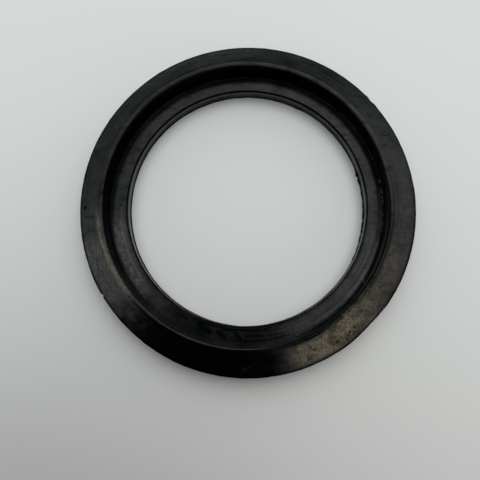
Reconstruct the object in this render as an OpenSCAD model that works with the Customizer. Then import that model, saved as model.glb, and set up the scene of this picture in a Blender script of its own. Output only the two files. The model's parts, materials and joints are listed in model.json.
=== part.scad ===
// Pump casing gasket: one moulded rubber ring.
// The ring lies flat on its base, with its axis on +Z and its origin at the centre of the base.
// From the outside in, its section has an upright rim, a sloped sealing band that climbs to a rounded
// crest, a steep step wall, a flat ledge that the mating cover seats on, and the bore.

/* [Rim] */
// Diameter of the upright outer rim
rim_d = 150; // [146:0.5:170]
// Height of the rim, up to the parting line
rim_h = 8.6; // [6:0.1:10]
// Radius of the two edges of the base
base_round = 0.5; // [0.2:0.1:0.8]

/* [Sealing band] */
// Diameter of the crest, the highest line of the ring
crest_d = 126.4; // [122:0.2:132]
// Height of the crest above the base
crest_h = 15; // [14:0.1:17]
// Radius of the crest, from the sloped band round to the step wall
crest_round = 1.5; // [0.8:0.1:2.4]

/* [Recess] */
// Height of the ledge above the base
ledge_h = 6.7; // [5:0.1:9]
// Angle that the step wall leans back from upright
wall_draft = 1; // [0:0.5:10]
// Radius in the corner between the ledge and the step wall
recess_fillet = 0.2; // [0.1:0.1:1]

/* [Bore] */
// Diameter of the bore
bore_d = 108; // [98:0.5:110]
// Width of the fine groove that runs round the bore's mouth
groove_w = 0.7; // [0.4:0.1:1]
// Depth of the groove below the ledge
groove_depth = 1.4; // [0.6:0.1:2]
// Width of the bead that is left between the groove and the bore
bead_w = 0.2; // [0.2:0.1:0.6]
// Distance that the top of the bead lies below the ledge
bead_drop = 0.1; // [0.1:0.1:0.4]

/* [Moulding marks] */
// Distance that the flash stands out from the rim at the parting line
flash_reach = 0.3; // [0.1:0.1:0.6]
// Thickness of the flash
flash_t = 0.3; // [0.2:0.1:0.5]
// Direction of the nick in the rim, counter-clockwise from +X
nick_angle = 212; // [190:1:250]
// Width of the nick at the rim
nick_w = 1.8; // [1:0.1:3]
// Depth of the nick, inwards from the rim
nick_depth = 0.6; // [0.4:0.1:1.5]
// Height of the nick, down from the parting line
nick_h = 1.6; // [1:0.1:4]

/* [Hidden] */
$fn = 180;
rubber = [0.13, 0.13, 0.13];

rim_r = rim_d / 2;
crest_r = crest_d / 2;
bore_r = bore_d / 2;

// Inner and outer wall of the groove
groove_r0 = bore_r + bead_w;
groove_r1 = groove_r0 + groove_w;

// The crest is an arc, and the band and the step wall both touch it
crest_centre = [crest_r, crest_h - crest_round];
band_run = [rim_r, rim_h] - crest_centre;
band_angle = atan2(-band_run.y, band_run.x) + asin(crest_round / norm(band_run));
band_touch = crest_centre + crest_round * [sin(band_angle), cos(band_angle)];
wall_touch = crest_centre + crest_round * [-cos(wall_draft), sin(wall_draft)];
recess_r = wall_touch.x - (wall_touch.y - ledge_h) * tan(wall_draft);

// The band carries on to the edge of the flash at the same slope
flash_top = rim_h - flash_reach * tan(band_angle);

// Corners of the section, as [radius, height]
base_in = [bore_r, 0];
base_out = [rim_r, 0];
rim_top = [rim_r, rim_h];
recess_corner = [recess_r, ledge_h];
ledge_in = [groove_r1, ledge_h];
bead_top = [bore_r, ledge_h - bead_drop];

// A cut reaches this far past the face that it opens
spill = 1;
// A rounding starts this far past the corner that it rounds
lap = 0.2;

function unit(v) = v / norm(v);

// The sliver between a sharp corner and the arc that rounds it: the corner lies between two neighbours
// on the outline, and the arc touches both sides of it
module corner_sliver(before, corner, after, radius) {
    u = unit(before - corner);
    v = unit(after - corner);
    inward = unit(u + v);
    half_angle = acos(u * v) / 2;
    centre = corner + inward * radius / sin(half_angle);
    reach = radius / tan(half_angle);
    difference() {
        polygon([corner - inward * lap, corner + u * reach, centre, corner + v * reach]);
        translate(centre) circle(r = radius);
    }
}

// Everything below the band, the crest, the step wall and the ledge
module solid_section() {
    polygon([
        base_in, base_out, rim_top, band_touch, crest_centre, wall_touch, recess_corner, ledge_in,
        [groove_r1, bead_top.y], bead_top
    ]);
    translate(crest_centre) circle(r = crest_round);
}

// Thin fin that is left where the two halves of the mould met
module flash_section() {
    polygon([
        [rim_r, flash_top - flash_t], [rim_r + flash_reach, flash_top - flash_t],
        [rim_r + flash_reach, flash_top], rim_top
    ]);
}

// Round-bottomed groove, open at the top
module groove_section() {
    half_w = groove_w / 2;
    bottom = ledge_h - groove_depth;
    translate([groove_r0 + half_w, bottom + half_w]) circle(r = half_w);
    translate([groove_r0, bottom + half_w]) square([groove_w, groove_depth - half_w + spill]);
}

module ring_section() {
    difference() {
        union() {
            solid_section();
            flash_section();
            corner_sliver(wall_touch, recess_corner, ledge_in, recess_fillet);
        }
        corner_sliver(base_in, base_out, rim_top, base_round);
        corner_sliver(base_out, base_in, bead_top, base_round);
        groove_section();
    }
}

// V-shaped nick in the upper edge of the rim
module rim_nick() {
    reach = flash_reach + spill;
    half_w = nick_w / 2 * (nick_depth + reach) / nick_depth;
    rotate(nick_angle)
        translate([rim_r, 0, rim_h - nick_h])
            linear_extrude(crest_h)
                polygon([[-nick_depth, 0], [reach, -half_w], [reach, half_w]]);
}

module gasket() {
    color(rubber)
        difference() {
            rotate_extrude() ring_section();
            rim_nick();
        }
}

gasket();
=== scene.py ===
from collections import namedtuple
import json
import math

import bmesh
import bpy
import numpy as np
from mathutils import Matrix, Vector, noise


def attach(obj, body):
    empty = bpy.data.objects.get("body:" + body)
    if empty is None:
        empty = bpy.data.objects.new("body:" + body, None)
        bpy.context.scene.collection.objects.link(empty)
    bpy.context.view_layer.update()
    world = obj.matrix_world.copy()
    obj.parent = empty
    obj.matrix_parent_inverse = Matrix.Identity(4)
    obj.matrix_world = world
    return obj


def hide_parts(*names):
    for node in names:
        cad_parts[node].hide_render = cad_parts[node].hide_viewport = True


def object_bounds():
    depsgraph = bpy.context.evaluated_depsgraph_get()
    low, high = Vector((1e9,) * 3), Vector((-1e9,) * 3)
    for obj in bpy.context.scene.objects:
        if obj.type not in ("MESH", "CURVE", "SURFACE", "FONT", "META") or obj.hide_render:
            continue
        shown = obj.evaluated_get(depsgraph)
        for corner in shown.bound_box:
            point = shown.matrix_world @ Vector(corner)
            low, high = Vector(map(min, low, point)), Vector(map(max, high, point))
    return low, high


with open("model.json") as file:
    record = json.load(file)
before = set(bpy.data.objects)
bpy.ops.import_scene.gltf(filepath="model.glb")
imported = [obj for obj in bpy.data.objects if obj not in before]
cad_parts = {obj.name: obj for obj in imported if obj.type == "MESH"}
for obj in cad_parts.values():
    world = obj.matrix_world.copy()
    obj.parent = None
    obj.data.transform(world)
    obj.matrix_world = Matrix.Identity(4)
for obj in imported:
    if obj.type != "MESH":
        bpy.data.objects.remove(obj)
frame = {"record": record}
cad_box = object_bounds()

MM = 0.001
# Lengths in millimetres that differ by less than this are the same
SAME = 1e-6

# Sizes that the frame gives, in millimetres
mounts = {m["name"]: m for m in frame["record"]["mounts"]}
RIM_R = mounts["rim"]["dims"]["r_mm"]
BORE_R = mounts["bore"]["dims"]["r_mm"]
LEDGE_Z = mounts["ledge"]["pos_m"][2] / MM
FLASH_REACH = cad_box[1].x / MM - RIM_R

# The rest of the section, in millimetres and degrees
RIM_Z = 8.6
BASE_ROUND = 0.5
CREST_R = 63.3
CREST_Z = 14.85
CREST_ROUND = 2.2
LIP_ROUND = 0.8
LIP_TURN = 20
WALL_DRAFT = 0.5
RECESS_FILLET = 0.12
GROOVE_W = 0.7
GROOVE_DEPTH = 1.4
GROOVE_ROUND = 0.22
LEDGE_ROUND = 0.1
BEAD_W = 0.2
BEAD_DROP = 0.1
BEAD_ROUND = 0.07
FLASH_T = 0.3
FLASH_ROUND = 0.08
# The bore opens a little from its mouth to its foot
MOUTH_R = BORE_R - 0.2
FOOT_R = BORE_R + 0.48
FOOT_ROUND = 0.06
GROOVE_IN = MOUTH_R + BEAD_W
GROOVE_OUT = GROOVE_IN + GROOVE_W
# Thin fin at the foot of the bore, where the rubber crept under the core of the mould
FIN_REACH = 0.4
FIN_T = 0.2
FIN_ROUND = 0.04
# The fin's points lie below this height
FIN_TOP = FIN_T + 0.01

# The band meets the rim at its upper edge and runs up into the crest's broad arc, and a tighter arc, the
# lip, leads from there into the step wall
crest_centre = np.array([CREST_R, CREST_Z - CREST_ROUND])
band_run, band_rise = RIM_R - crest_centre[0], crest_centre[1] - RIM_Z
band_angle = math.atan2(band_rise, band_run) + math.asin(CREST_ROUND / math.hypot(band_run, band_rise))
BAND_SLOPE = math.tan(band_angle)
lip_angle, wall_angle = math.radians(LIP_TURN), math.radians(WALL_DRAFT)
band_normal = np.array([math.sin(band_angle), math.cos(band_angle)])
lip_normal = np.array([-math.sin(lip_angle), math.cos(lip_angle)])
wall_normal = np.array([-math.cos(wall_angle), math.sin(wall_angle)])
lip_centre = crest_centre + (CREST_ROUND - LIP_ROUND) * lip_normal


def sharp_corner(centre, radius, one, other):
    """Where two sides would meet that both touch a circle; each side is given by its normal."""
    return centre + (one + other) * radius / (1 + one @ other)


outer_crest = sharp_corner(crest_centre, CREST_ROUND, band_normal, lip_normal)
inner_crest = sharp_corner(lip_centre, LIP_ROUND, lip_normal, wall_normal)
RECESS_R = inner_crest[0] - (inner_crest[1] - LEDGE_Z) * math.tan(wall_angle)


def unit(v):
    return v / np.linalg.norm(v)


def rounded_corner(before, corner, after, radius, steps):
    """Points of the arc that rounds a corner and touches both of its sides."""
    u, v = unit(before - corner), unit(after - corner)
    half = math.acos(float(u @ v)) / 2
    centre = corner + unit(u + v) * radius / math.sin(half)
    reach = radius / math.tan(half)
    a = corner + u * reach - centre
    b = corner + v * reach - centre
    start = math.atan2(a[1], a[0])
    sweep = (math.atan2(b[1], b[0]) - start + math.pi) % (2 * math.pi) - math.pi
    angles = start + sweep * np.linspace(0, 1, steps + 1)
    return [centre + radius * np.array([math.cos(t), math.sin(t)]) for t in angles]


def section_points():
    """The ring's outline in the plane of its axis, as [radius, height], from the bore's foot outwards."""
    groove_z = LEDGE_Z - GROOVE_DEPTH
    bead_z = LEDGE_Z - BEAD_DROP
    flash_z = RIM_Z - FLASH_REACH * BAND_SLOPE
    flash_r = RIM_R + FLASH_REACH
    fin_r = FOOT_R - FIN_REACH
    # Each corner: radius, height, rounding, steps of the arc, spacing of the points that follow it
    corners = [
        (fin_r, 0, FIN_ROUND, 1, 4.0),
        (RIM_R, 0, BASE_ROUND, 3, 2.0),
        (RIM_R, flash_z - FLASH_T, FLASH_ROUND, 1, 1.0),
        (flash_r, flash_z - FLASH_T, FLASH_ROUND, 2, 1.0),
        (flash_r, flash_z, FLASH_ROUND, 2, 0.68),
        (*outer_crest, CREST_ROUND, 12, 0.8),
        (*inner_crest, LIP_ROUND, 8, 1.0),
        (RECESS_R, LEDGE_Z, RECESS_FILLET, 3, 0.44),
        (GROOVE_OUT, LEDGE_Z, LEDGE_ROUND, 3, 0.4),
        (GROOVE_OUT, groove_z, GROOVE_ROUND, 2, 1.0),
        (GROOVE_IN, groove_z, GROOVE_ROUND, 2, 0.4),
        (GROOVE_IN, bead_z, BEAD_ROUND, 2, 1.0),
        (MOUTH_R, bead_z, BEAD_ROUND, 2, 1.2),
        (FOOT_R, FIN_T, FOOT_ROUND, 2, 0.3),
        (fin_r, FIN_T, FIN_ROUND, 1, 0.3),
    ]
    count = len(corners)
    at = [np.array(c[:2], dtype=float) for c in corners]
    points = []
    for i, (_, _, radius, steps, spacing) in enumerate(corners):
        after, beyond = at[(i + 1) % count], at[(i + 2) % count]
        arc = rounded_corner(at[i - 1], at[i], after, radius, steps)
        # Two arcs that touch share a point
        points += arc[1:] if points and np.linalg.norm(arc[0] - points[-1]) < SAME else arc
        next_radius = corners[(i + 1) % count][2]
        straight = rounded_corner(at[i], after, beyond, next_radius, 1)[0] - arc[-1]
        parts = max(1, round(np.linalg.norm(straight) / spacing))
        points += [arc[-1] + straight * k / parts for k in range(1, parts)]
    return np.array(points)


# Step from one row of points to the next, in degrees round the ring, and the spans where it is finer:
# start, end, step. Directions are counter-clockwise from +X
COARSE_STEP = 0.75
FINE_SPANS = [
    (0, 24, 0.25), (36, 43.5, 0.25), (207, 213.75, 0.125), (228, 291, 0.5), (324, 360, 0.25),
]


def ring_angles():
    """Directions of the ring's rows of points, closer together where edges are ragged or film is wiped."""
    marks = []
    at = 0.0
    while at < 360:
        marks.append(at)
        at += next((fine for start, end, fine in FINE_SPANS if start <= at < end), COARSE_STEP)
    return np.radians(marks)


def share(value, start, end):
    """0 at the start, 1 at the end, straight between them."""
    return min(1, max(0, (value - start) / (end - start)))


def nearness(value, centre, reach):
    """1 at a value, falling straight to 0 at a distance from it."""
    return max(0, 1 - abs(value - centre) / reach)


def rough(angle, waves):
    """Smooth noise that closes on itself round the ring; each wave has a height, a count and a seed."""
    level = 0
    for height, count, seed in waves:
        at = Vector((math.cos(angle) * count, math.sin(angle) * count, seed))
        level += height * noise.noise(at) * 2
    return level


def turn_from(angle, centre):
    """Degrees from a direction to an angle in radians, between -180 and 180."""
    return (math.degrees(angle) - centre + 180) % 360 - 180


def bumps(angle, places):
    """Sum of soft bumps round the ring; each has a direction, a width in degrees and a height."""
    return sum(
        height * math.exp(-((turn_from(angle, centre) / width) ** 2)) for centre, width, height in places
    )


def span(angle, centre, half, soft):
    """1 within half a width of a direction, falling to 0 over a soft edge, all in degrees."""
    return min(1, max(0, (half + soft - abs(turn_from(angle, centre))) / soft))


# Flash: usual and least reach in millimetres, waves of its raggedness as height, count and seed, and
# bumps as direction, half width in degrees and height in millimetres
FLASH_USUAL = 0.13
FLASH_LEAST = 0.02
FLASH_WAVES = [(0.05, 6, 1.3), (0.05, 40, 4.1)]
FLASH_BUMPS = [
    (3.5, 2.5, 0.15), (38.2, 1.1, 0.3), (41.6, 0.9, 0.28), (83.5, 0.5, 0.3), (123, 0.7, 0.3),
    (324.5, 0.8, 0.38), (210.6, 0.5, 0.25), (213.6, 0.6, 0.15),
]
# The rim isn't quite round: direction, half width in degrees, swell in millimetres
RIM_SWELLS = [
    (35, 14, -0.22), (209, 6, 0.22), (272, 22, 0.14), (40, 1.6, -0.2), (315.5, 7, -0.45), (338, 20, 0.22),
]
# The nick in the rim: direction, half width in degrees and depth in millimetres, and how far it reaches
# across the band and down the rim
NICK = (212.8, 0.65, 0.8)
NICK_ACROSS = 1.2
NICK_DOWN = 1.6
# Fin: usual and least reach in millimetres, and the waves of its raggedness
FIN_USUAL = 0.34
FIN_LEAST = 0.1
FIN_WAVES = [(0.048, 9, 2.2)]
# Round +X the fin is longer and more ragged: direction, half width and soft edge in degrees, how much
# longer in millimetres, and the waves that are added
TORN_SPAN = (-3, 20, 8)
TORN_MORE = 0.12
TORN_WAVES = [(0.16, 45, 7.7), (0.12, 110, 3.1)]
# Where the fin is trimmed closer, or less: direction, half width in degrees, millimetres
FIN_TRIMS = [
    (55, 12, 0.22), (90, 14, 0.16), (268, 14, 0.2), (333, 14, 0.2), (16.8, 1.1, -0.45), (13.4, 0.9, -0.4),
    (63, 2.5, -0.25), (138.5, 1.3, -0.1),
]
# Grains of residue in the recess corner: where, as amount, direction, half width and soft edge in
# degrees, then their waves and the level that counts as full, and their height and reach from the corner
# in millimetres
RESIDUE_SPANS = [(0.8, 4, 13, 3), (0.6, 327.8, 1.2, 0.8), (1, 21.5, 0.5, 0.5)]
RESIDUE_WAVES = [(0.5, 95, 5.5), (0.35, 190, 8.1)]
RESIDUE_FULL = 0.25
RESIDUE_Z = 0.2
RESIDUE_REACH = 0.4


def flash_reach(angle):
    """How far the flash stands out from the rim."""
    return max(FLASH_LEAST, FLASH_USUAL + rough(angle, FLASH_WAVES) + bumps(angle, FLASH_BUMPS))


def fin_reach(angle):
    """How far the fin stands out from the foot of the bore: ragged round +X, even elsewhere."""
    reach = FIN_USUAL + rough(angle, FIN_WAVES) - bumps(angle, FIN_TRIMS)
    return max(FIN_LEAST, reach + span(angle, *TORN_SPAN) * (TORN_MORE + rough(angle, TORN_WAVES)))


def residue(angle):
    """How much pale residue sits in the corner of the recess, from 0 to 1."""
    amount = max(level * span(angle, *where) for level, *where in RESIDUE_SPANS)
    return amount * share(rough(angle, RESIDUE_WAVES), 0, RESIDUE_FULL)


# The soft lip lies a little off centre: its shift, in millimetres, at the crest and in the recess
# corner, and how far inside that corner the shift starts and is full
CREST_SHIFT = np.array([-0.6, 0.42])
CORNER_SHIFT = np.array([-0.1, -0.6])
SHIFT_START = 0.6
SHIFT_FULL = 0.1


def lip_shift(r, z):
    """Sideways shift of a point of the section; none on the ledge and at the rim."""
    if r < RECESS_R - SHIFT_START or z < LEDGE_Z - SAME:
        return np.zeros(2)
    if r > CREST_R:
        return CREST_SHIFT * share(r, RIM_R, CREST_R)
    up = (z - LEDGE_Z) / (CREST_Z - LEDGE_Z)
    near = share(r, RECESS_R - SHIFT_START, RECESS_R - SHIFT_FULL)
    return (CORNER_SHIFT * (1 - up) + CREST_SHIFT * up) * near


def ring_verts(outline, angles):
    """Every point of the ring: the section at each direction, with that direction's own marks."""
    verts = []
    for a in angles:
        flash, fin, nick, swell = flash_reach(a), fin_reach(a), bumps(a, [NICK]), bumps(a, RIM_SWELLS)
        bead = RESIDUE_Z * residue(a)
        for r, z in outline:
            if r > RIM_R + SAME:
                moved = RIM_R + (r - RIM_R) * flash / FLASH_REACH
                z += (r - moved) * BAND_SLOPE
                r = moved
            elif z < FIN_TOP and r < FOOT_R:
                r = FOOT_R - (FOOT_R - r) * fin / FIN_REACH
            r -= nick * nearness(r, RIM_R, NICK_ACROSS) * nearness(z, RIM_Z, NICK_DOWN)
            r = min(RIM_R + FLASH_REACH, r + swell * share(r, CREST_R, RIM_R))
            z += bead * nearness(r, RECESS_R - RESIDUE_REACH, RESIDUE_REACH) * nearness(z, LEDGE_Z, 1)
            dx, dy = lip_shift(r, z)
            verts.append(((r * math.cos(a) + dx) * MM, (r * math.sin(a) + dy) * MM, z * MM))
    return verts


# Pits of the surface: direction, radius from the axis, half width and depth in millimetres
PITS = [
    (181.6, 72.1, 0.8, 0.6), (179.8, 57.5, 0.4, 0.25), (294.5, 68.7, 0.42, 0.3), (302.9, 70.9, 0.4, 0.3),
    (306.2, 72.1, 0.36, 0.28), (308.6, 70.5, 0.5, 0.32), (310.6, 70.4, 0.42, 0.3), (306.5, 73.1, 0.45, 0.25),
    (301.3, 67.8, 0.3, 0.2), (298.7, 70.2, 0.28, 0.2), (307.7, 71.6, 0.3, 0.25), (309.7, 71.8, 0.3, 0.22),
    (309.5, 69.3, 0.26, 0.2), (304.7, 69.9, 0.24, 0.2), (297.2, 69.3, 0.22, 0.15), (290.1, 69.6, 0.24, 0.18),
    (292.1, 71.7, 0.25, 0.18), (266.8, 64.4, 0.22, -0.1), (188.8, 57.9, 0.22, -0.08),
    (186.9, 58.7, 0.2, -0.08),
]
# A finer mesh reaches this far past a pit, with this many cuts of each edge
PIT_MARGIN = 0.55
PIT_CUTS = 5
# The outline of a pit is ragged: share of its half width, waves per millimetre
PIT_RAGGED = 0.35
PIT_WAVES = 3
# Below 1, a pit has a flat bottom and a steep edge
PIT_CURVE = 0.8
# Shares of its half width where the darkening of a pit starts and is full
PIT_DARK = (1.25, 0.8)


def pit_place(direction, radius):
    """Middle of a pit on the ring's upper face, in metres."""
    a = math.radians(direction)
    height = LEDGE_Z if radius < RECESS_R else RIM_Z + (RIM_R - radius) * BAND_SLOPE
    return Vector((radius * math.cos(a), radius * math.sin(a), height)) * MM


def press_pits(shape):
    """Refines the mesh round each pit and presses the pit in; a negative depth raises a grain."""
    for direction, radius, half, depth in PITS:
        at = pit_place(direction, radius)
        reach = (half + PIT_MARGIN) * MM
        faces = [f for f in shape.faces if (f.calc_center_median() - at).length < reach]
        edges = {e for f in faces for e in f.edges}
        done = bmesh.ops.subdivide_edges(shape, edges=list(edges), cuts=PIT_CUTS, use_grid_fill=True)
        shape.normal_update()
        points = {v for item in done["geom"] if isinstance(item, bmesh.types.BMFace) for v in item.verts}
        moves = []
        for v in points:
            off = (v.co - at) / MM
            edge = half * (1 + PIT_RAGGED * noise.noise(off * PIT_WAVES + Vector((direction, 0, 0))))
            inside = 1 - (off.length / edge) ** 2
            if inside > 0:
                moves.append((v, v.normal * -depth * MM * inside ** PIT_CURVE))
        for v, move in moves:
            v.co += move


def build_ring():
    outline = section_points()
    angles = ring_angles()
    count, rows = len(outline), len(angles)
    faces = []
    for i in range(rows):
        here, there = i * count, ((i + 1) % rows) * count
        for j in range(count):
            k = (j + 1) % count
            faces.append((here + j, there + j, there + k, here + k))
    mesh = bpy.data.meshes.new("gasket_ring")
    mesh.from_pydata(ring_verts(outline, angles), [], faces)
    mesh.validate()
    shape = bmesh.new()
    shape.from_mesh(mesh)
    bmesh.ops.recalc_face_normals(shape, faces=shape.faces)
    press_pits(shape)
    shape.to_mesh(mesh)
    shape.free()
    mesh.shade_smooth()
    piece = bpy.data.objects.new("gasket_ring", mesh)
    bpy.context.collection.objects.link(piece)
    return piece


def on_ring(point):
    """A point's distance from the ring's axis in millimetres and its direction, without the lip's shift."""
    radius = math.hypot(point.x, point.y) / MM
    shift = lip_shift(radius, point.z / MM)
    x, y = point.x / MM - shift[0], point.y / MM - shift[1]
    return math.hypot(x, y), math.atan2(y, x)


# Strips of the section that films and painted reflections lie on, in millimetres: the radii where the strip
# starts, is full, is still full and ends
LEDGE = (BORE_R + 1.1, BORE_R + 1.6, RECESS_R - 0.9, RECESS_R - 0.3)
LEDGE_MIDDLE = (BORE_R + 2.2, BORE_R + 3.2, RECESS_R - 1.1, RECESS_R - 0.5)
CORNER = (RECESS_R - 3, RECESS_R - 2, RECESS_R - 1, RECESS_R - 0.5)
WALL = (CREST_R - 2.7, CREST_R - 2.1, CREST_R - 1.1, CREST_R - 0.6)
SHOULDER = (CREST_R - 1.1, CREST_R - 0.3, CREST_R + 1.2, CREST_R + 3.2)
BROAD_SHOULDER = (CREST_R - 1.1, CREST_R - 0.3, CREST_R + 1.2, CREST_R + 3.7)
BAND = (CREST_R + 0.9, CREST_R + 2.7, RIM_R - 1.2, RIM_R - 0.4)
WHOLE_BAND = (CREST_R + 0.2, CREST_R + 1.7, RIM_R + 1, RIM_R + 2)
BAND_FADING = (CREST_R + 0.7, CREST_R + 2.2, CREST_R + 4.7, RIM_R - 0.6)

# A patch on the rubber: its strength, its direction, half width and soft edge in degrees, and its strip
Patch = namedtuple("Patch", "strength direction half soft strip")

# Grey film, and on the near left, about 205 degrees, painted reflection of the room's light
HAZE_AND_REFLECTION_PATCHES = [
    Patch(0.25, 318, 26, 18, LEDGE),
    Patch(0.3, 202, 13, 12, LEDGE),
    Patch(0.9, 326, 20, 22, CORNER),
    Patch(0.13, 259, 33, 8, WALL),
    Patch(0.4, 205, 12, 12, SHOULDER),
    Patch(0.125, 345, 20, 16, BAND),
    Patch(0.22, 206, 7, 8, BAND),
]
# Grey on the near ledge, taken off in streaks where the dark reflection of the hand and phone is painted
NEAR_LEDGE_GREY = Patch(0.085, 259, 33, 8, LEDGE)
HAND_REFLECTION_STRENGTH = 0.85
# Painted reflection of the pale floor on the bore wall, in the grey of the film: strength, direction, half
# width and soft edge, the least anywhere, the radii where it ends and is still full, and its strip of
# heights
PAINTED_BORE_REFLECTION = [(1, 205, 35, 20), (1.5, 345, 40, 20)]
PAINTED_BORE_REFLECTION_LEAST = 0.2
BORE_FACE = (FOOT_R + 0.2, FOOT_R + 0.1)
BORE_STRIP = (0.3, 0.6, LEDGE_Z - 0.8, LEDGE_Z - 0.4)
# Warm bloom and painted warm reflection, beside its main patch
BLOOM_AND_REFLECTION_PATCHES = [Patch(0.3, 331, 8, 10, BAND_FADING), Patch(0.25, 203, 12, 9, BROAD_SHOULDER)]
# The main patch, a painted reflection of a warm light with some bloom: directions and radii where it starts,
# is full, is still full and ends
BLOOM_AND_REFLECTION_ALONG = (284.8, 289.3, 308.3, 332.3)
BLOOM_AND_REFLECTION_ACROSS = (CREST_R + 1, CREST_R + 3.2, RIM_R - 1.6, RIM_R - 0.7)
# Its inner edge moves inwards by this much between two directions
BLOOM_AND_REFLECTION_WIDENS = (1.7, 297.3, 310.3)
# Its outer part is thinner past a direction: by this share, between two directions and two radii
BLOOM_AND_REFLECTION_THINS = (0.45, 298.3, 305.3, RIM_R - 5.5, RIM_R - 3.5)
# Pale flecks
SCUFF_PATCHES = [Patch(0.8, 205, 14, 6, LEDGE_MIDDLE), Patch(0.6, 206, 9, 6, BAND)]
# Painted highlight along the shoulder of the crest, in pale flecks: direction, half width and soft edge of
# the highlighted part, and its line, which moves inwards from one radius to another between two directions
SHOULDER_HIGHLIGHT_SPAN = (203, 12, 8)
SHOULDER_HIGHLIGHT_FROM, SHOULDER_HIGHLIGHT_TO = (192, CREST_R + 1.2), (213, CREST_R + 0.3)
# Strength on the line and beside it, and the distances where each starts and is full
SHOULDER_HIGHLIGHT_LINE, LINE_WIDTH = 1.6, (1, 0.3)
SHOULDER_HIGHLIGHT_SIDES, SIDES_WIDTH = 0.4, (2, 1)
# Flecks on the grains of residue: strength, and the distances from the grains' middle and the heights
# where they start and are full
GRAIN_FLECKS = 2
GRAIN_WIDTH = (0.35, 0.15)
GRAIN_TOP = (LEDGE_Z + 0.8, LEDGE_Z + 0.5)
# Uneven gloss beside the darkest part of the band
BLOTCH_PATCHES = [Patch(1, 228, 5, 8, WHOLE_BAND), Patch(0.6, 281, 3, 5, WHOLE_BAND)]
# The lip is worn dull: least, more in two spans of direction, half width and soft edge, and the radii
# and heights where the wear starts and is full
WORN_LEAST, WORN_MORE = 0.04, 0.3
WORN_SPANS = [(165, 50, 20), (303, 15, 8)]
WORN_ACROSS = (CREST_R + 1, CREST_R)
WORN_UP = (LEDGE_Z + 3, LEDGE_Z + 5)
# The step wall is dull up to this far outside the recess corner, and further in one span; it starts and
# is full just inside that corner, and ends over a soft edge
DULL_WALL, DULL_WALL_MORE = 0.55, 0.9
DULL_WALL_SPAN = (322, 30, 20)
DULL_WALL_STARTS = (-0.3, -0.12)
DULL_WALL_EDGE = 0.3
# Other dull places: the radii and heights where they start and are full
DULL_RIM = (RIM_R - 1.1, RIM_R - 0.6)
DULL_GROOVE = (MOUTH_R + 0.12, MOUTH_R + 0.2, GROOVE_OUT + 0.02, GROOVE_OUT + 0.06)
GROOVE_DARK = (LEDGE_Z - 0.12, LEDGE_Z - 0.3)
DULL_FOOT = (FOOT_R + 0.3, FOOT_R + 0.1)
FOOT_DARK = (0.3, 0.15)


def within(value, start, full, still_full, end):
    """1 in the middle of a strip, falling to 0 at its two ends."""
    return share(value, start, full) * share(value, end, still_full)


def strongest(patches, radius, angle):
    """The strongest of some patches of film at a place on the ring."""
    return max(
        p.strength * span(angle, p.direction, p.half, p.soft) * within(radius, *p.strip) for p in patches
    )


def between(angle, start, end):
    """0 at one direction and 1 at another, all in degrees but the angle, which is in radians."""
    return share(turn_from(angle, start), 0, end - start)


def pit_share(point):
    """1 in the bottom of a pit, 0 on the face round it."""
    deepest = 0
    for direction, radius, half, depth in PITS:
        if depth > 0:
            a = math.radians(direction)
            away = math.hypot(point.x / MM - radius * math.cos(a), point.y / MM - radius * math.sin(a))
            deepest = max(deepest, share(away, *(half * part for part in PIT_DARK)))
    return deepest


def bloom_and_reflection_share(point):
    """How much warm, pale bloom and painted warm reflection a point of the band carries, before the noise
    breaks it up.
    """
    radius, angle = on_ring(point)
    start, full, still_full, end = BLOOM_AND_REFLECTION_ALONG
    inner, inner_full, outer_full, outer = BLOOM_AND_REFLECTION_ACROSS
    widening, widens_from, widens_to = BLOOM_AND_REFLECTION_WIDENS
    thinning, thins_from, thins_to, thin_inner, thin_outer = BLOOM_AND_REFLECTION_THINS
    inwards = widening * between(angle, widens_from, widens_to)
    patch = between(angle, start, full) * (1 - between(angle, still_full, end))
    patch *= within(radius, inner - inwards, inner_full - inwards, outer_full, outer)
    patch *= 1 - thinning * between(angle, thins_from, thins_to) * share(radius, thin_inner, thin_outer)
    return max(patch, strongest(BLOOM_AND_REFLECTION_PATCHES, radius, angle)) * (1 - pit_share(point))


def blotch_share(point):
    """How much the gloss of the band breaks up beside its darkest part."""
    return strongest(BLOTCH_PATCHES, *on_ring(point))


# Painted dark reflection of the hand and phone, in streaks on the near part of the ledge: their two ends and
# half width, in millimetres
HAND_REFLECTION_STREAKS = [
    (10.4, -54.9, 11.8, -57.5, 0.35), (11.8, -57.5, 13.6, -54.6, 0.35), (8.8, -55.2, 9.8, -56.9, 0.3),
    (-0.1, -57.8, 7.8, -57.6, 0.6), (-4.7, -56.8, -2.5, -58.7, 0.7), (-12.2, -56, -9.1, -58.7, 0.75),
    (-20.5, -52.9, -15.7, -56.1, 0.8), (-9.5, -55.2, 7, -55.6, 0.25), (-28, -49.2, -26, -50.8, 0.5),
]
# Distances past its half width where a streak starts and is full
HAND_REFLECTION_EDGE = (0.4, -0.1)
# The edge of a streak wanders: distance in millimetres, waves per millimetre
HAND_REFLECTION_WANDER = 0.5
HAND_REFLECTION_WAVES = 1.3
# All streaks lie in this span of directions, and below this height
HAND_REFLECTION_SPAN = (262, 28, 1)
HAND_REFLECTION_TOP = LEDGE_Z + 0.2


def hand_reflection_share(point):
    """1 where a streak of painted dark reflection crosses the ledge, 0 elsewhere."""
    if point.z / MM > HAND_REFLECTION_TOP or not span(math.atan2(point.y, point.x), *HAND_REFLECTION_SPAN):
        return 0
    at = Vector((point.x, point.y, 0)) / MM
    wander = HAND_REFLECTION_WANDER * noise.noise(at * HAND_REFLECTION_WAVES)
    wiped = 0
    for x0, y0, x1, y1, half in HAND_REFLECTION_STREAKS:
        start, along = Vector((x0, y0, 0)), Vector((x1 - x0, y1 - y0, 0))
        nearest = start + along * min(1, max(0, (at - start).dot(along) / along.length_squared))
        away = (at - nearest).length + wander
        wiped = max(wiped, share(away, *(half + edge for edge in HAND_REFLECTION_EDGE)))
    return wiped


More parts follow.
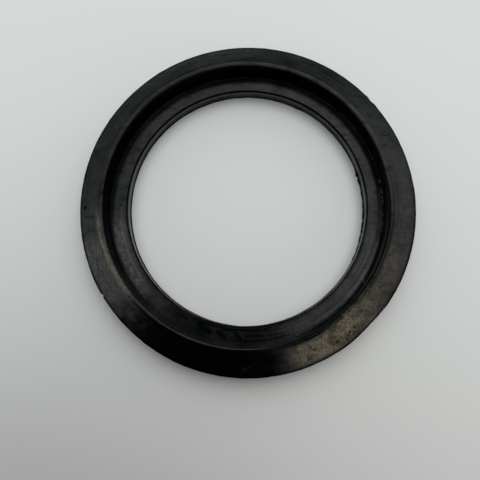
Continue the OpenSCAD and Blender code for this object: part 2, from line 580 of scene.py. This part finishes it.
def haze_and_reflection_share(point):
    """How much grey film and painted reflection a point carries, before the streaks and clouds break it up.
    """
    radius, angle = on_ring(point)
    ledge = strongest([NEAR_LEDGE_GREY], radius, angle) * (1 - HAND_REFLECTION_STRENGTH * hand_reflection_share(point))
    # The grey on the bore wall is painted reflection of the pale floor
    bore = max(PAINTED_BORE_REFLECTION_LEAST, *(level * span(angle, *where) for level, *where in PAINTED_BORE_REFLECTION))
    bore *= share(radius, *BORE_FACE) * within(point.z / MM, *BORE_STRIP)
    return max(strongest(HAZE_AND_REFLECTION_PATCHES, radius, angle), ledge, bore)


def scuff_and_highlight_share(point):
    """How thickly a point carries pale flecks: on the near left, with a painted highlight along the
    shoulder, and on the grains of residue.
    """
    radius, angle = on_ring(point)
    (start, outer), (end, inner) = SHOULDER_HIGHLIGHT_FROM, SHOULDER_HIGHLIGHT_TO
    from_line = abs(radius - outer + (outer - inner) * between(angle, start, end))
    shoulder_highlight = SHOULDER_HIGHLIGHT_LINE * share(from_line, *LINE_WIDTH) + SHOULDER_HIGHLIGHT_SIDES * share(from_line, *SIDES_WIDTH)
    grains = GRAIN_FLECKS * residue(angle) * share(abs(radius - RECESS_R + RESIDUE_REACH), *GRAIN_WIDTH)
    grains *= share(point.z / MM, *GRAIN_TOP)
    return max(strongest(SCUFF_PATCHES, radius, angle), span(angle, *SHOULDER_HIGHLIGHT_SPAN) * shoulder_highlight, grains)


def dull_share(point):
    """1 on the step wall, in the groove and on the trimmed edges, 0 on the moulded faces."""
    radius, height = math.hypot(point.x, point.y) / MM, point.z / MM
    from_axis, angle = on_ring(point)
    wall_end = DULL_WALL + DULL_WALL_MORE * span(angle, *DULL_WALL_SPAN)
    wall = within(from_axis - RECESS_R, *DULL_WALL_STARTS, wall_end - DULL_WALL_EDGE, wall_end)
    rim = share(radius, *DULL_RIM)
    worn = WORN_LEAST + WORN_MORE * max(span(angle, *where) for where in WORN_SPANS)
    lip = worn * share(radius, *WORN_ACROSS) * share(height, *WORN_UP)
    groove = share(height, *GROOVE_DARK) * within(radius, *DULL_GROOVE)
    foot = share(height, *FOOT_DARK) * share(radius, *DULL_FOOT)
    return max(wall, rim, lip, groove, foot, pit_share(point))


SHARES = {
    "bloom": bloom_and_reflection_share, "haze": haze_and_reflection_share, "scuff": scuff_and_highlight_share,
    "dull": dull_share, "wiped": hand_reflection_share, "blotch": blotch_share,
}


def mark_shares(mesh):
    """Stores each share on the mesh's points, where the material reads it."""
    for name, share_of in SHARES.items():
        layer = mesh.attributes.new(name, "FLOAT", "POINT")
        layer.data.foreach_set("value", [share_of(v.co) for v in mesh.vertices])


def new_material(name):
    material = bpy.data.materials.new(name)
    material.use_nodes = True
    tree = material.node_tree
    shader = tree.nodes["Principled BSDF"]
    return material, tree, shader


class Nodes:
    """Short calls for a material's or the world's nodes."""

    def __init__(self, tree):
        self.tree = tree

    def new(self, kind, **settings):
        node = self.tree.nodes.new(kind)
        for name, value in settings.items():
            setattr(node, name, value)
        return node

    def plug(self, node, name, value):
        """Sets a socket to a number or colour, or links an output to it."""
        if isinstance(value, bpy.types.NodeSocket):
            self.tree.links.new(value, node.inputs[name])
        else:
            node.inputs[name].default_value = value

    def math(self, operation, a, b=0.0):
        node = self.new("ShaderNodeMath", operation=operation)
        self.plug(node, 0, a)
        self.plug(node, 1, b)
        return node.outputs[0]

    def plus(self, a, b):
        return self.math("ADD", a, b)

    def minus(self, a, b):
        return self.math("SUBTRACT", a, b)

    def times(self, first, *others):
        for other in others:
            first = self.math("MULTIPLY", first, other)
        return first

    def spread(self, value, low_high, to_low_high=(0.0, 1.0)):
        """Maps a range to another range, held at its ends."""
        node = self.new("ShaderNodeMapRange")
        self.plug(node, "Value", value)
        for name, number in zip(("From Min", "From Max", "To Min", "To Max"), (*low_high, *to_low_high)):
            node.inputs[name].default_value = number
        return node.outputs["Result"]

    def noise(self, where, scale, detail, roughness):
        node = self.new("ShaderNodeTexNoise")
        self.plug(node, "Vector", where)
        node.inputs["Scale"].default_value = scale
        node.inputs["Detail"].default_value = detail
        node.inputs["Roughness"].default_value = roughness
        return node.outputs["Fac"]

    def stored(self, name):
        """A value that the mesh's points hold."""
        return self.new("ShaderNodeAttribute", attribute_name=name).outputs["Fac"]

    def split(self, vector):
        node = self.new("ShaderNodeSeparateXYZ")
        self.plug(node, 0, vector)
        return node.outputs

    def stretched(self, where, factors):
        """A position, multiplied by a factor along each axis."""
        node = self.new("ShaderNodeVectorMath", operation="MULTIPLY")
        self.plug(node, 0, where)
        self.plug(node, 1, factors)
        return node.outputs["Vector"]

    def mix(self, factor, a, b):
        node = self.new("ShaderNodeMix", data_type="RGBA")
        self.plug(node, "Factor", factor)
        self.plug(node, "A", a)
        self.plug(node, "B", b)
        return node.outputs["Result"]

    def mix_shaders(self, factor, a, b):
        node = self.new("ShaderNodeMixShader")
        for name, value in enumerate((factor, a, b)):
            self.plug(node, name, value)
        return node.outputs[0]

    def ramp(self, value, stops):
        """Colour stops, as (place, colour)."""
        node = self.new("ShaderNodeValToRGB")
        self.plug(node, "Fac", value)
        elements = node.color_ramp.elements
        while len(elements) < len(stops):
            elements.new(0.5)
        for element, (place, colour) in zip(elements, stops):
            element.position = place
            element.color = (*colour, 1)
        return node.outputs["Color"]


RUBBER = (0.0005, 0.0009, 0.0015, 1)
# Warm colour of the bloom and of the painted warm reflection
WARM_BLOOM_AND_REFLECTION = (0.182, 0.148, 0.095, 1)
# Grey of the film and of the painted reflections
HAZE_AND_REFLECTION = (0.136, 0.136, 0.122, 1)
# Pale colour of the flecks, the scratches and the painted shoulder highlight
SCUFF_AND_HIGHLIGHT = (0.14, 0.14, 0.115, 1)
ROUGHNESS = 0.2

# Each noise: waves per metre, detail, roughness
PATCH_NOISE = (90.0, 3.0, 0.5)
LARGE_CLOUD_NOISE = (130.0, 3.0, 0.6)
BLOTCH_NOISE = (200.0, 2.0, 0.5)
SMALL_CLOUD_NOISE = (260.0, 4.0, 0.6)
GRAIN_NOISE = (900.0, 4.0, 0.5)
FINE_NOISE = (2200.0, 2.0, 0.5)
# Smears: waves per metre along each axis, then detail and roughness
SMEAR_WAVES = (170.0, 420.0, 300.0)
SMEAR_NOISE = (1.0, 3.0, 0.6)
# Strands of noise that run round the ring: waves round it and waves per metre across its section, then
# detail and roughness
STREAK_STRANDS = (2.5, 900.0, 2.0, 0.5)
RUB_STRANDS = (20.0, 650.0, 4.0, 0.7)

# How each noise is spread: its range, and the range that this becomes
SPECKS = (0.38, 0.56), (0.15, 1.08)
SMALL_CLOUDS = (0.38, 0.54), (0.45, 1.0)
LARGE_CLOUDS = (0.38, 0.6), (0.72, 1.15)
HAZE_AND_REFLECTION_STREAKS = (0.8, 1.2), (0.25, 1.0)
HAZE_AND_REFLECTION_GRAIN = (0.35, 0.6), (0.5, 1.0)
FLECKS = (0.35, 0.7), (0.0, 1.0)
FLECK_GRAIN = (0.35, 0.65), (0.5, 1.15)
SCRATCH_GRAIN = (0.35, 0.65), (0.0, 0.16)
PATCHY_ROUGHNESS = (0.3, 0.7), (-0.03, 0.03)
STREAKED_ROUGHNESS = (0.3, 0.7), (-0.04, 0.04)
PATCHY_GLOSS = (0.3, 0.7), (0.8, 1.2)
STREAKED_GLOSS = (0.3, 0.7), (0.88, 1.12)
CLOUDED_GLOSS = (0.45, 1.0), (0.92, 1.08)
SMEARED_GLOSS = (0.5, 0.66), (1.0, 0.55)
BLOTCHED_GLOSS = (0.4, 0.6), (0.45, 1.25)
# How the films and the painted reflections change the gloss, and the specular level of the moulded faces and
# of the dull ones
BLOOM_AND_REFLECTION_GLOSS = (0.0, 1.0), (1.0, 0.45)
HAND_REFLECTION_GLOSS = (0.0, 1.0), (1.0, 0.35)
DULL_GLOSS = (0.0, 1.0), (0.25, 0.04)

# Scratches of the band, from end to end in millimetres, and the distances where a line starts and is full
SCRATCHES = [(-1.6, -72.4, 4.5, -67.6), (-2.0, -71.4, -0.1, -70.0)]
SCRATCH_WIDTH = (0.26 * MM, 0.08 * MM)

# The relief of the surface: its strength, and its depth in metres
RELIEF_STRENGTH = 0.35
RELIEF_DEPTH = 0.00005
RELIEF_STREAKS = 0.6


class Surface:
    """The rubber's position sockets and the noises that its colour and gloss share."""

    def __init__(self, n):
        self.n = n
        self.where = n.new("ShaderNodeTexCoord").outputs["Object"]
        self.x, self.y, self.z = n.split(self.where)
        self.radius = n.math("SQRT", n.plus(n.times(self.x, self.x), n.times(self.y, self.y)))
        self.streaks = self.strands(*STREAK_STRANDS)
        self.patches = n.noise(self.where, *PATCH_NOISE)
        self.grain = n.noise(self.where, *GRAIN_NOISE)
        self.clouds = self.broken_clouds()

    def strands(self, waves_round, waves_across, detail, roughness):
        """Noise that changes slowly with the direction and fast across the section."""
        n = self.n
        at = n.new("ShaderNodeCombineXYZ")
        n.plug(at, 0, n.times(n.math("DIVIDE", self.x, self.radius), waves_round))
        n.plug(at, 1, n.times(n.math("DIVIDE", self.y, self.radius), waves_round))
        n.plug(at, 2, n.times(n.minus(self.radius, self.z), waves_across))
        return n.noise(at.outputs[0], 1.0, detail, roughness)

    def broken_clouds(self):
        """Small clouds that gather into larger ones."""
        n = self.n
        small = n.spread(n.noise(self.where, *SMALL_CLOUD_NOISE), *SMALL_CLOUDS)
        large = n.spread(n.noise(self.where, *LARGE_CLOUD_NOISE), *LARGE_CLOUDS)
        return n.times(small, large)


def bloom_and_reflection_film(n, surface):
    """Warm bloom and painted warm reflection, broken into clouds and fine specks."""
    fine = n.noise(surface.where, *FINE_NOISE)
    specks = n.plus(n.times(surface.grain, 0.5), n.times(fine, 0.5))
    return n.times(n.stored("bloom"), n.spread(specks, *SPECKS), surface.clouds)


def haze_and_reflection_film(n, surface):
    """Grey film and painted reflection, in streaks and patches."""
    uneven = n.spread(n.plus(surface.streaks, surface.patches), *HAZE_AND_REFLECTION_STREAKS)
    return n.times(n.stored("haze"), uneven, n.spread(surface.grain, *HAZE_AND_REFLECTION_GRAIN))


def scratch_line(n, surface, start_x, start_y, end_x, end_y):
    """A faint straight line that fades to its ends and is broken by the grain."""
    length = math.hypot(end_x - start_x, end_y - start_y)
    ux, uy = (end_x - start_x) / length, (end_y - start_y) / length
    off_x = n.minus(surface.x, (start_x + end_x) / 2 * MM)
    off_y = n.minus(surface.y, (start_y + end_y) / 2 * MM)
    along = n.math("ABSOLUTE", n.plus(n.times(off_x, ux), n.times(off_y, uy)))
    across = n.math("ABSOLUTE", n.minus(n.times(off_x, uy), n.times(off_y, ux)))
    line = n.spread(across, SCRATCH_WIDTH)
    ends = n.spread(along, (length / 2 * MM, length / 3 * MM))
    return n.times(line, ends, n.spread(surface.grain, *SCRATCH_GRAIN))


def scuff_and_highlight_film(n, surface):
    """Pale flecks along the strands, with the painted shoulder highlight among them, and the scratches."""
    flecks = n.spread(surface.strands(*RUB_STRANDS), *FLECKS)
    film = n.times(n.stored("scuff"), flecks, n.spread(surface.grain, *FLECK_GRAIN))
    for scratch in SCRATCHES:
        film = n.math("MAXIMUM", film, scratch_line(n, surface, *scratch))
    return film


def gloss_level(n, surface, bloom):
    """Specular level: handling, the streaks of painted dark reflection, smears, and the bloom and painted
    warm reflection leave it uneven.
    """
    # Smears are short, dark wipe marks that cross the ring
    smears = n.noise(n.stretched(surface.where, SMEAR_WAVES), *SMEAR_NOISE)
    blotches = n.spread(n.noise(surface.where, *BLOTCH_NOISE), *BLOTCHED_GLOSS)
    return n.times(
        n.spread(surface.patches, *PATCHY_GLOSS),
        n.spread(surface.streaks, *STREAKED_GLOSS),
        n.spread(surface.clouds, *CLOUDED_GLOSS),
        n.spread(smears, *SMEARED_GLOSS),
        n.spread(bloom, *BLOOM_AND_REFLECTION_GLOSS),
        n.spread(n.stored("wiped"), *HAND_REFLECTION_GLOSS),
        n.plus(1.0, n.times(n.stored("blotch"), n.minus(blotches, 1.0))),
        n.spread(n.stored("dull"), *DULL_GLOSS),
    )


def rubber(mesh):
    mark_shares(mesh)
    material, tree, shader = new_material("black_rubber")
    n = Nodes(tree)
    surface = Surface(n)
    bloom = bloom_and_reflection_film(n, surface)
    # Grey film, with painted reflection on the bore wall and on the near left
    colour = n.mix(haze_and_reflection_film(n, surface), RUBBER, HAZE_AND_REFLECTION)
    # Pale flecks and scratches, and on the near left a painted highlight along the shoulder
    colour = n.mix(scuff_and_highlight_film(n, surface), colour, SCUFF_AND_HIGHLIGHT)
    # The warm patches paint the reflection of a warm light, with some bloom
    n.plug(shader, "Base Color", n.mix(bloom, colour, WARM_BLOOM_AND_REFLECTION))
    patchy = n.spread(surface.patches, *PATCHY_ROUGHNESS)
    streaked = n.spread(surface.streaks, *STREAKED_ROUGHNESS)
    n.plug(shader, "Roughness", n.plus(n.plus(patchy, streaked), ROUGHNESS))
    n.plug(shader, "Specular IOR Level", gloss_level(n, surface, bloom))
    relief = n.new("ShaderNodeBump")
    relief.inputs["Strength"].default_value = RELIEF_STRENGTH
    relief.inputs["Distance"].default_value = RELIEF_DEPTH
    n.plug(relief, "Height", n.plus(surface.grain, n.times(surface.streaks, RELIEF_STREAKS)))
    n.plug(shader, "Normal", relief.outputs["Normal"])
    mesh.materials.append(material)


ring = build_ring()
rubber(ring.data)
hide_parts("gasket")
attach(ring, "root")

X_AXIS, Y_AXIS, Z_AXIS = Vector((1, 0, 0)), Vector((0, 1, 0)), Vector((0, 0, 1))


def flat_rectangle(name, centre, up, width, height):
    """A rectangle in metres, as wide along X as its width and as high along its up axis as its height."""
    c, x, y = Vector(centre), X_AXIS * width / 2, up * height / 2
    mesh = bpy.data.meshes.new(name)
    mesh.from_pydata([c - x - y, c + x - y, c + x + y, c - x + y], [], [(0, 1, 2, 3)])
    plane = bpy.data.objects.new(name, mesh)
    bpy.context.collection.objects.link(plane)
    return plane


FLOOR_CENTRE = (0, -0.36, 0)
FLOOR_SIZE = (1.6, 1.28)
# The board is painted a little warmer towards the camera, standing in for the cooler light on its far part:
# its two colours, and where along Y they are full
FLOOR_FAR = (0.785, 0.81, 0.775, 1)
FLOOR_NEAR = (0.82, 0.81, 0.78, 1)
FLOOR_FADE = (0.04, -0.1)
FLOOR_ROUGHNESS = 0.6
FLOOR_GLOSS = 0.2


def floor():
    plane = flat_rectangle("floor", FLOOR_CENTRE, Y_AXIS, *FLOOR_SIZE)
    material, tree, shader = new_material("pale_floor")
    shader.inputs["Roughness"].default_value = FLOOR_ROUGHNESS
    shader.inputs["Specular IOR Level"].default_value = FLOOR_GLOSS
    n = Nodes(tree)
    along = n.split(n.new("ShaderNodeNewGeometry").outputs["Position"])["Y"]
    # Painted tint of the light: warmer towards the camera
    n.plug(shader, "Base Color", n.mix(n.spread(along, FLOOR_FADE), FLOOR_FAR, FLOOR_NEAR))
    # From below, the floor lets the camera see the ring
    below = n.new("ShaderNodeNewGeometry").outputs["Backfacing"]
    clear = n.new("ShaderNodeBsdfTransparent").outputs[0]
    n.plug(tree.nodes["Material Output"], "Surface", n.mix_shaders(below, shader.outputs[0], clear))
    plane.data.materials.append(material)


# Matt black cards that shade the ring as the photographer does: centre, up axis, width and height, in
# metres. The camera doesn't see them
CARD_COLOUR = (0.01, 0.01, 0.01, 1)
CARDS = {
    "arm": ((-0.023, -0.180, 0.19), Y_AXIS, 0.122, 0.25),
    "phone": ((-0.019, -0.085, 0.189), Y_AXIS, 0.082, 0.15),
    "body": ((-0.067, -0.2, 0.11), Z_AXIS, 0.228, 0.18),
    "left_arm": ((-0.17, -0.2, 0.17), Y_AXIS, 0.22, 0.26),
    "right_arm": ((0.14, -0.22, 0.2), Y_AXIS, 0.14, 0.22),
}


def dark_card(name, centre, up, width, height):
    plane = flat_rectangle(name, centre, up, width, height)
    material, tree, shader = new_material(name)
    shader.inputs["Base Color"].default_value = CARD_COLOUR
    shader.inputs["Roughness"].default_value = 1
    shader.inputs["Specular IOR Level"].default_value = 0
    plane.data.materials.append(material)
    plane.visible_camera = False


# The room as soft light: brightness by direction, in degrees, at the horizon, low and high on the walls,
# on the ceiling and near the zenith. The photographer's shade leaves the walls dark from 226 to 278
HORIZON = [
    (0, 0.5), (30, 0.45), (60, 0.05), (90, 0), (120, 0), (150, 0.1), (180, 0.75), (205, 0.85), (212, 0.85),
    (219, 0.3), (226, 0), (278, 0), (283, 0.4), (288, 0.7), (330, 0.6),
]
LOW_WALL = [
    (0, 0.85), (30, 1.3), (60, 1.5), (90, 1.4), (120, 1.15), (150, 0.85), (180, 0.75), (212, 0.65),
    (219, 0.25), (226, 0), (278, 0), (283, 0.6), (288, 1.05), (305, 1.1), (330, 0.95),
]
HIGH_WALL = [
    (0, 0.2), (30, 1), (60, 1.6), (90, 1.65), (120, 1.2), (150, 0.45), (180, 0), (205, 0), (212, 0.1),
    (226, 0), (278, 0), (288, 0.25), (305, 0.05), (330, 0),
]
OVERHEAD = [
    (0, 1.25), (30, 2), (60, 2.1), (90, 1.65), (120, 1.35), (150, 1.35), (180, 1), (210, 0.85), (240, 1.2),
    (270, 1.35), (300, 1.05), (330, 0.9),
]
ZENITH = [(0, 1.3), (60, 1.55), (120, 1), (180, 0.95), (240, 0.8), (300, 0.7)]
# Height above the horizon, in degrees, of those five bands
BANDS = (3, 18, 40, 62, 80)
BRIGHTEST = 3
# The light is cooler from the far left, at this direction, and warmer from the near right
COOL_FROM = 120
COOL_LIGHT = np.array([0.955, 1, 1.04])
WARM_LIGHT = np.array([1.012, 1, 0.972])
# What the camera sees of the room
PALE_ROOM = (0.66, 0.69, 0.67, 1)


def daylight(direction):
    """Tint of the light from a direction."""
    cool = 0.5 + 0.5 * math.cos(math.radians(direction - COOL_FROM))
    return cool * COOL_LIGHT + (1 - cool) * WARM_LIGHT


def band_ramp(n, around, levels):
    """Colour of one band of the room, as a ramp over the direction."""
    stops = sorted(((d + 180) % 360 / 360, level / BRIGHTEST) for d, level in levels)
    seam = stops[0][1] if stops[0][0] == 0 else (stops[0][1] + stops[-1][1]) / 2
    stops = [(0, seam)] + [s for s in stops if s[0] > 0] + [(1, seam)]
    return n.ramp(around, [(place, level * daylight(place * 360 - 180)) for place, level in stops])


def studio_world():
    world = bpy.data.worlds.new("studio")
    world.use_nodes = True
    bpy.context.scene.world = world
    world.node_tree.nodes.clear()
    n = Nodes(world.node_tree)
    x, y, z = n.split(n.new("ShaderNodeTexCoord").outputs["Generated"])
    around = n.spread(n.math("ARCTAN2", y, x), (-math.pi, math.pi))
    height = n.math("ARCSINE", z)
    steps = [math.radians(b) for b in BANDS]
    light = band_ramp(n, around, HORIZON)
    for levels, low, high in zip((LOW_WALL, HIGH_WALL, OVERHEAD, ZENITH), steps, steps[1:]):
        light = n.mix(n.spread(height, (low, high)), light, band_ramp(n, around, levels))
    room = n.new("ShaderNodeBackground")
    n.plug(room, "Color", light)
    room.inputs["Strength"].default_value = BRIGHTEST
    pale = n.new("ShaderNodeBackground")
    pale.inputs["Color"].default_value = PALE_ROOM
    camera_ray = n.new("ShaderNodeLightPath").outputs["Is Camera Ray"]
    out = n.new("ShaderNodeOutputWorld")
    n.plug(out, "Surface", n.mix_shaders(camera_ray, room.outputs[0], pale.outputs[0]))


floor()
studio_world()
for card_name, card in CARDS.items():
    dark_card(card_name, *card)

CAMERA_AT = Vector((2.64, -33.82, 185.07)) * MM
CAMERA_AIM = Vector((-2.62, -11.59, 8.6)) * MM
CAMERA_ROLL = math.radians(0.164)
NEAR_CLIP = 10 * MM
SENSOR_WIDTH = 36
# Pixels of the square photo: its size, the lens's focal length and the height of the optical centre
PHOTO_SIZE = 480
FOCAL_PX = 400
PRINCIPAL_Y = 230


def camera():
    data = bpy.data.cameras.new("camera")
    data.sensor_width = SENSOR_WIDTH
    data.lens = FOCAL_PX / PHOTO_SIZE * SENSOR_WIDTH
    data.shift_y = (PRINCIPAL_Y - PHOTO_SIZE / 2) / PHOTO_SIZE
    data.clip_start = NEAR_CLIP
    view = bpy.data.objects.new("camera", data)
    bpy.context.collection.objects.link(view)
    ahead = (CAMERA_AIM - CAMERA_AT).normalized()
    right = ahead.cross(Y_AXIS).normalized()
    up = right.cross(ahead)
    turned = Matrix((right, up, -ahead)).transposed().to_4x4()
    view.matrix_world = Matrix.Translation(CAMERA_AT) @ turned @ Matrix.Rotation(CAMERA_ROLL, 4, "Z")
    bpy.context.scene.camera = view


camera()
bpy.context.scene.view_settings.view_transform = "Standard"
